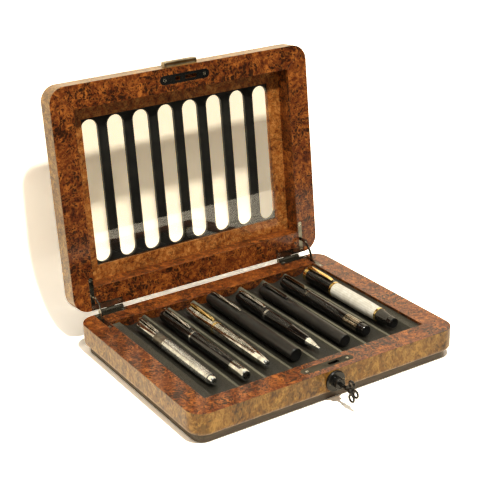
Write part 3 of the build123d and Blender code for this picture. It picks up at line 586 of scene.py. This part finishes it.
# A cap or barrel may change finish part way: [finish, place, next finish].
# clip: start, end, width, radius, finish. ring: start, end, radius, finish. nose: (along, out) points.
pens = [
    {"cap": ["chrome", 36, "grey"], "barrel": ["satin"], "clip": (2, 37, 3.2, 5.6, "chrome"),
     "rings": [(32, 33.6, 5.7, "chrome"), (52, 54.5, 5.8, "chrome")],
     "nose": {"skin": "chrome", "line": [(130, 4.0), (134, 3.9), (136, 3.0)], "hole": (1.9, 5.0)}},
    {"cap": ["gloss"], "barrel": ["gloss"], "clip": (3, 52, 3.6, 6.4, "chrome"),
     "rings": [(58, 61, 6.5, "chrome")],
     "nose": {
         "skin": "chrome", "line": [(126, 5.2), (140, 5.0), (147.4, 4.7), (148, 4.3)], "hole": (3.5, 9.0)}},
    {"cap": ["chrome"], "barrel": ["chrome"], "clip": (2, 46, 3.8, 6.0, "gold"),
     "rings": [(49, 52, 6.2, "gold")],
     "nose": {
         "skin": "chrome", "line": [(118, 5.0), (130, 4.0), (135.4, 3.0), (136, 2.6)], "hole": (1.3, 4.0)}},
    {"cap": ["matte"], "barrel": ["matte"], "clip": (1, 55, 2.8, 6.9, "chrome"), "rings": []},
    {"cap": ["gloss"], "barrel": ["gloss"], "clip": (2, 47, 3.4, 5.9, "chrome"),
     "rings": [(51, 54, 6.0, "chrome")],
     "nose": {
         "skin": "satin", "line": [(118, 4.0), (131, 1.9), (131.3, 1.4), (135.6, 1.0), (136, 0.8)],
         "hole": (0.4, 1.0)}},
    {"cap": ["matte"], "barrel": ["matte"], "clip": (2, 44, 4.4, 6.5, "gloss"), "rings": []},
    {"cap": ["gloss"], "barrel": ["gloss"], "clip": (2, 40, 4.0, 6.4, "smoke"),
     "rings": [(43, 46, 6.5, "smoke"), (106, 127, 6.1, "engraved")]},
    {"cap": ["gloss"], "barrel": ["ivory", 118, "gloss"], "clip": (1, 42, 4.2, 7.6, "gold"),
     "rings": [(0, 5, 7.0, "gold"), (45, 48, 7.8, "gold"), (115, 118, 7.1, "gold")]},
]
# root, foot and ends are shares of a clip's length; the heights are in mm above the cap
clipForm = {
    "root": 0.09, "foot": 0.92, "rows": 18, "rise": 2.0, "drop": 1.5, "under": 0.95, "seat": -0.6,
    "tip": 0.12, "crown": 0.25, "ends": (0.02, 0.99), "endStep": 0.5, "endWidth": 0.66, "edge": 0.32,
}
ringWall = 0.9
ringLip = 0.3


def penSkin(name, kinds, axis):
    look = penSkins[kinds[0]]
    made, tree, shader = newMaterial(name)
    where = ownPlace(tree, location=(-axis.x, -axis.y, -axis.z))
    marks = place(tree, handling, Vector=where, Roughness=look["roughness"], Spread=0.06)
    swirl = noise(tree, where, 60, 3, 0.55, 1.5)["Fac"]
    mottled = ease(tree, swirl, 0.36, 0.66)
    colour = blendColours(tree, mottled, look["dark"], look["pale"])
    roughness = marks["Roughness"]
    shader["Metallic"].default_value = look["metallic"]
    if "around" in look:
        lines = place(tree, engravedLines, Vector=where, Around=look["around"])
        shade = maths(tree, "MULTIPLY", lines["Along"], look["depth"])
        colour = blendColours(tree, shade, colour, look["line"])
        relief = maths(tree, "MULTIPLY", lines["Along"], -0.25)
        feed(tree, shader["Normal"], bumpFrom(tree, relief, 0.1, 0.05 * mm))
    if len(kinds) > 1:
        other = penSkins[kinds[2]]
        past = maths(tree, "LESS_THAN", split(tree, where)[1], -kinds[1] * mm)
        otherColour = blendColours(tree, mottled, other["dark"], other["pale"])
        colour = blendColours(tree, past, colour, otherColour)
        rougher = other["roughness"] - look["roughness"]
        roughness = maths(tree, "MULTIPLY_ADD", past, rougher, roughness)
        shinier = other["metallic"] - look["metallic"]
        feed(tree, shader["Metallic"], maths(tree, "MULTIPLY_ADD", past, shinier, look["metallic"]))
    worn = blendColours(tree, maths(tree, "MULTIPLY", marks["Height"], 0.12), colour, look["pale"])
    feed(tree, shader["Base Color"], worn)
    feed(tree, shader["Roughness"], roughness)
    return made


def objectFrom(name, mesh, material):
    data = bpy.data.meshes.new(name)
    mesh.to_mesh(data)
    mesh.free()
    data.materials.append(material)
    made = bpy.data.objects.new(name, data)
    bpy.context.scene.collection.objects.link(made)
    return made


def newPiece(name, mesh, material, body, standsFor):
    made = objectFrom(name, mesh, material)
    made.data.set_sharp_from_angle(angle=math.radians(34))
    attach(made, body)
    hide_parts(standsFor)


def spun(line, axis, steps=48):
    # A line of (along, out) turned once round the pen's axis; its ends close on themselves or on the axis
    mesh = bmesh.new()
    dots = [mesh.verts.new((0.0, -along * mm, out * mm)) for along, out in line]
    pairs = list(zip(dots, dots[1:]))
    if line[0][1] and line[-1][1]:
        pairs.append((dots[-1], dots[0]))
    edges = [mesh.edges.new(pair) for pair in pairs]
    bmesh.ops.spin(
        mesh, geom=[*dots, *edges], cent=(0.0, 0.0, 0.0), axis=(0.0, 1.0, 0.0),
        angle=math.radians(360), steps=steps, use_merge=True,
    )
    bmesh.ops.remove_doubles(mesh, verts=mesh.verts, dist=0.002 * mm)
    bmesh.ops.recalc_face_normals(mesh, faces=mesh.faces)
    bmesh.ops.translate(mesh, vec=axis, verts=mesh.verts)
    for face in mesh.faces:
        face.smooth = True
    return mesh


def clipMesh(start, end, width, radius, axis):
    # A bar stretched along the cap, its rows set to the clip's rise, seat and tip, then rounded
    form = clipForm
    mesh = bmesh.new()
    bmesh.ops.create_cube(mesh, size=1.0)
    lengthways = [edge for edge in mesh.edges if abs(edge.verts[0].co.y - edge.verts[1].co.y) > 0.5]
    bmesh.ops.subdivide_edges(mesh, edges=lengthways, cuts=form["rows"], use_grid_fill=True)
    for vert in mesh.verts:
        along = 0.5 - vert.co.y
        outer = form["rise"] + (form["drop"] - form["rise"]) * along
        crown = math.sin(math.pi * min(max(along, 0.0), 1.0)) * form["crown"]
        atEnd = not form["ends"][0] <= along <= form["ends"][1]
        if vert.co.z > 0:
            height = outer - form["endStep"] if atEnd else outer + crown
        elif along < form["root"]:
            height = form["seat"]
        elif along > form["foot"]:
            height = form["tip"]
        else:
            height = form["under"] + crown
        narrow = 0.72 + 0.28 * math.sin(math.pi * (0.25 + 0.6 * along))
        if atEnd:
            narrow *= form["endWidth"]
        down = start + (end - start) * along
        vert.co = Vector((vert.co.x * width * narrow, -down, radius + height)) * mm
    outline = [edge for edge in mesh.edges if edge.calc_face_angle(0.0) > math.radians(35)]
    bmesh.ops.bevel(
        mesh, geom=outline, offset=form["edge"] * mm, offset_type="OFFSET", segments=3, profile=0.5,
        affect="EDGES", clamp_overlap=True, material=-1,
    )
    bmesh.ops.recalc_face_normals(mesh, faces=mesh.faces)
    bmesh.ops.translate(mesh, vec=axis, verts=mesh.verts)
    for face in mesh.faces:
        face.smooth = True
    return mesh


for number, pen in enumerate(pens, 1):
    low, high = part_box(f"pen_{number}_cap")
    axis = Vector(((low.x + high.x) / 2, high.y, (low.z + high.z) / 2))
    body, trim = f"pen_{number}", f"pen_{number}_trim"
    for part in ("cap", "barrel"):
        paint(penSkin(f"pen{number}{part.title()}", pen[part], axis), f"pen_{number}_{part}")
    trimPaint = {}

    def trimPiece(name, mesh, kind):
        if kind not in trimPaint:
            trimPaint[kind] = penSkin(f"pen{number}{kind.title()}", [kind], axis)
        newPiece(name, mesh, trimPaint[kind], body, trim)

    start, end, width, radius, kind = pen["clip"]
    trimPiece(f"pen_{number}_clip", clipMesh(start, end, width, radius, axis), kind)
    for order, (start, end, radius, kind) in enumerate(pen["rings"], 1):
        inner, lip = radius - ringWall, min(ringLip, (end - start) * 0.2)
        line = [(start, inner), (start, radius - lip), (start + lip, radius)]
        line += [(end - lip, radius), (end, radius - lip), (end, inner)]
        trimPiece(f"pen_{number}_ring_{order}", spun(line, axis), kind)
    if "nose" in pen:
        nose = pen["nose"]
        front = nose["line"][-1][0]
        hole, depth = nose["hole"]
        line = [(nose["line"][0][0], 0.0), *nose["line"]]
        line += [(front, hole), (front - depth, hole), (front - depth, 0.0)]
        trimPiece(f"pen_{number}_nose", spun(line, axis), nose["skin"])
print("stage: pens")

# The key: three cast rings on a turned shaft, and the flat blade

keyForm = {
    "front": -116.5, "height": 20.0, "ring": 3.25, "wire": 1.08,
    "rings": [(-134.0, 6.6), (-134.0, -6.6), (-139.3, 0.0)],
    "shaft": [
        (0.0, 0.0), (0.0, 2.6), (1.4, 2.6), (1.9, 1.8), (3.4, 1.6), (9.0, 1.5), (10.4, 2.3), (12.0, 2.5),
        (13.4, 2.2), (15.0, 2.6), (17.5, 3.0), (19.6, 2.4), (21.0, 0.0),
    ],
    "blade": (1.2, 13.0, 4.8), "bladeRound": 0.3,
}
middle = Vector((0.0, keyForm["front"] * mm, keyForm["height"] * mm))
keyMesh = spun(keyForm["shaft"], middle, steps=28)
for ringY, ringZ in keyForm["rings"]:
    centre = Vector((0.0, ringY, keyForm["height"] + ringZ)) * mm
    section = bmesh.ops.create_circle(keyMesh, segments=12, radius=keyForm["wire"] * mm)["verts"]
    away = Vector((0.0, keyForm["ring"] * mm, 0.0))
    bmesh.ops.translate(keyMesh, vec=centre + away, verts=section)
    outline = {edge for vert in section for edge in vert.link_edges}
    bmesh.ops.spin(
        keyMesh, geom=[*section, *outline], cent=centre, axis=(1.0, 0.0, 0.0),
        angle=math.radians(360), steps=30, use_merge=True,
    )
thick, long, tall = keyForm["blade"]
blade = bmesh.ops.create_cube(keyMesh, size=1.0)["verts"]
bmesh.ops.scale(keyMesh, vec=Vector((thick, long, tall)) * mm, verts=blade)
bmesh.ops.translate(keyMesh, vec=middle + Vector((0.0, long / 2 * mm, 0.0)), verts=blade)
bladeEdges = list({edge for vert in blade for edge in vert.link_edges})
bmesh.ops.bevel(
    keyMesh, geom=bladeEdges, offset=keyForm["bladeRound"] * mm, offset_type="OFFSET", segments=2,
    profile=0.5, affect="EDGES", clamp_overlap=True, material=-1,
)
bmesh.ops.remove_doubles(keyMesh, verts=keyMesh.verts, dist=0.002 * mm)
bmesh.ops.recalc_face_normals(keyMesh, faces=keyMesh.faces)
for face in keyMesh.faces:
    face.smooth = True
newPiece("key_cast", keyMesh, blackMetal, "key", "key")
print("stage: key")

# Floor, light and camera

stageLook = {
    "reach": 2.2, "front": -0.29, "wallFrom": 0.1575, "sweep": 0.07, "wallTop": 0.8, "wallHalf": 1.8,
    "bounce": (0.74, 0.71, 0.66, 1.0), "bright": (2.75, 2.6, 2.25, 1.0), "glazed": (1.0, 1.26, 1.9, 1.0),
    "mirror": (1.6, 1.42, 1.1, 1.0), "glow": (0.02, 0.02, 0.01, 1.0), "ambient": 0.21, "mirrored": 0.25,
    "mirroredTint": (1.0, 0.9, 0.74, 1.0), "shadeReach": 0.12, "flatFrom": 0.113, "lift": 0.0002,
}


def rayIs(tree, *kinds):
    # A ray that went through glass counts only when it comes straight from the camera
    ray = addNode(tree, "LightPath").outputs
    bounced = maths(tree, "MINIMUM", maths(tree, "ADD", ray["Diffuse Depth"], ray["Glossy Depth"]), 1.0)
    total = 0.0
    for kind in kinds:
        hit = ray[f"Is {kind} Ray"]
        if kind == "Transmission":
            hit = maths(tree, "MULTIPLY", hit, maths(tree, "SUBTRACT", 1.0, bounced))
        total = maths(tree, "MAXIMUM", hit, total)
    return total


def stagePaint(name, oneSided=False):
    made = bpy.data.materials.new(name)
    made.use_nodes = True
    tree = made.node_tree
    tree.nodes.clear()
    output = tree.nodes.new("ShaderNodeOutputMaterial")
    plain, glow, both = (addNode(tree, kind) for kind in ("BsdfDiffuse", "Emission", "AddShader"))
    colour = blendColours(tree, rayIs(tree, "Camera"), stageLook["bounce"], stageLook["bright"])
    colour = blendColours(tree, rayIs(tree, "Transmission"), colour, stageLook["glazed"])
    if oneSided:
        closed = addNode(tree, "AmbientOcclusion", samples=8)
        closed.inputs["Distance"].default_value = stageLook["shadeReach"]
        shade = ease(tree, closed.outputs["AO"], 0.75, 0.1, 0.0, 0.85)
        colour = blendColours(tree, shade, colour, tint(0, 0, 0))
    colour = blendColours(tree, rayIs(tree, "Glossy"), colour, stageLook["mirror"])
    feed(tree, plain.inputs["Color"], colour)
    glow.inputs["Color"].default_value = stageLook["glow"]
    feed(tree, glow.inputs["Strength"], rayIs(tree, "Camera", "Transmission"))
    tree.links.new(plain.outputs[0], both.inputs[0])
    tree.links.new(glow.outputs[0], both.inputs[1])
    surface = both.outputs[0]
    if oneSided:
        back = addNode(tree, "NewGeometry").outputs["Backfacing"]
        fromFront = maths(tree, "SUBTRACT", 1.0, back)
        shown = maths(tree, "MULTIPLY", rayIs(tree, "Camera", "Glossy", "Transmission"), fromFront)
        hidden = addNode(tree, "MixShader")
        feed(tree, hidden.inputs[0], shown)
        tree.links.new(addNode(tree, "BsdfTransparent").outputs[0], hidden.inputs[1])
        tree.links.new(surface, hidden.inputs[2])
        surface = hidden.outputs[0]
    tree.links.new(surface, output.inputs["Surface"])
    return made


floorMesh = bmesh.new()
bmesh.ops.create_grid(floorMesh, x_segments=1, y_segments=1, size=stageLook["reach"])
floorMiddle = (0.0, stageLook["reach"] + stageLook["front"], 0.0)
bmesh.ops.translate(floorMesh, vec=floorMiddle, verts=floorMesh.verts)
objectFrom("floor", floorMesh, stagePaint("floorPaint"))

# A paper sweep close behind, which takes the lid's shadow; from its back it isn't there
paper = bmesh.new()
half, start = stageLook["wallHalf"], stageLook["wallFrom"]
ends = [paper.verts.new((side * half, start, stageLook["lift"])) for side in (-1, 1)]
edge = paper.edges.new(ends)
laid = bmesh.ops.extrude_edge_only(paper, edges=[edge])["geom"]
flat = [part for part in laid if isinstance(part, bmesh.types.BMVert)]
bmesh.ops.translate(paper, vec=(0.0, stageLook["flatFrom"] - start, 0.0), verts=flat)
turned = bmesh.ops.spin(
    paper, geom=[edge, *ends], cent=(0.0, start, stageLook["sweep"]), axis=(1.0, 0.0, 0.0),
    angle=math.radians(90), steps=16, use_merge=False,
)
lastEdge = [part for part in turned["geom_last"] if isinstance(part, bmesh.types.BMEdge)]
raised = bmesh.ops.extrude_edge_only(paper, edges=lastEdge)["geom"]
top = [part for part in raised if isinstance(part, bmesh.types.BMVert)]
bmesh.ops.translate(paper, vec=(0.0, 0.0, stageLook["wallTop"]), verts=top)
paper.normal_update()
away = [face for face in paper.faces if face.normal.z - face.normal.y < 0]
bmesh.ops.reverse_faces(paper, faces=away)
for face in paper.faces:
    face.smooth = True
objectFrom("backdrop", paper, stagePaint("paperPaint", oneSided=True))

world = bpy.data.worlds.new("studio")
bpy.context.scene.world = world
world.use_nodes = True
tree = world.node_tree
tree.nodes.clear()
output = tree.nodes.new("ShaderNodeOutputWorld")
sky = addNode(tree, "Background")
way = split(tree, addNode(tree, "TexCoord").outputs["Generated"])
ahead = maths(tree, "MULTIPLY", ease(tree, way[1], -0.15, -0.5), ease(tree, way[2], 0.45, 0.1))
dimmed = maths(tree, "MULTIPLY", maths(tree, "MULTIPLY_ADD", ahead, -0.9, 1.0), stageLook["mirrored"])
glossy = rayIs(tree, "Glossy")
shown = rayIs(tree, "Camera", "Transmission")
level = maths(tree, "MULTIPLY_ADD", glossy, dimmed, shown)
others = maths(tree, "SUBTRACT", 1.0, maths(tree, "MAXIMUM", shown, glossy))
feed(tree, sky.inputs["Strength"], maths(tree, "MULTIPLY_ADD", others, stageLook["ambient"], level))
tree.links.new(sky.outputs[0], output.inputs["Surface"])
warmed = blendColours(tree, glossy, tint(255, 255, 255), stageLook["mirroredTint"])
feed(tree, sky.inputs["Color"], warmed)

lamps = {
    "keyLamp": {"at": (-0.17, -0.71, 1.44), "size": 0.07, "power": 22.5, "colour": (1.0, 0.97, 0.91)},
    "topLamp": {"at": (-0.14, 0.14, 1.4), "size": 0.9, "power": 3.4, "colour": (1.0, 0.98, 0.94)},
    "leftLamp": {"at": (-1.3, 0.35, 0.15), "size": 0.7, "power": 6.0, "colour": (1.0, 0.93, 0.82)},
}
for name, lamp in lamps.items():
    data = bpy.data.lights.new(name, "AREA")
    data.size = lamp["size"]
    data.energy = lamp["power"]
    data.color = lamp["colour"]
    lampObject = bpy.data.objects.new(name, data)
    bpy.context.scene.collection.objects.link(lampObject)
    lampObject.location = lamp["at"]
    lampObject.rotation_euler = (-Vector(lamp["at"])).to_track_quat("-Z", "Y").to_euler()

view = {"at": (-0.5646, -0.8565, 0.5451), "yaw": 32.187, "pitch": -22.663, "roll": -1.422, "lens": 90.90}
cameraData = bpy.data.cameras.new("camera")
cameraData.lens = view["lens"]
cameraData.sensor_width = 36.0
cameraData.clip_start = 0.02
camera = bpy.data.objects.new("camera", cameraData)
bpy.context.scene.collection.objects.link(camera)
yaw, pitch, roll = (math.radians(view[name]) for name in ("yaw", "pitch", "roll"))
forward = Vector((math.sin(yaw) * math.cos(pitch), math.cos(yaw) * math.cos(pitch), math.sin(pitch)))
sideways = Vector((math.cos(yaw), -math.sin(yaw), 0.0))
upward = sideways.cross(forward)
right = sideways * math.cos(roll) + upward * math.sin(roll)
above = upward * math.cos(roll) - sideways * math.sin(roll)
turn = Matrix((right, above, -forward)).transposed().to_4x4()
camera.matrix_world = Matrix.Translation(view["at"]) @ turn
bpy.context.scene.camera = camera
bpy.context.scene.view_settings.view_transform = "Standard"
print("stage: floor, lamps and camera")

bpy.context.view_layer.update()
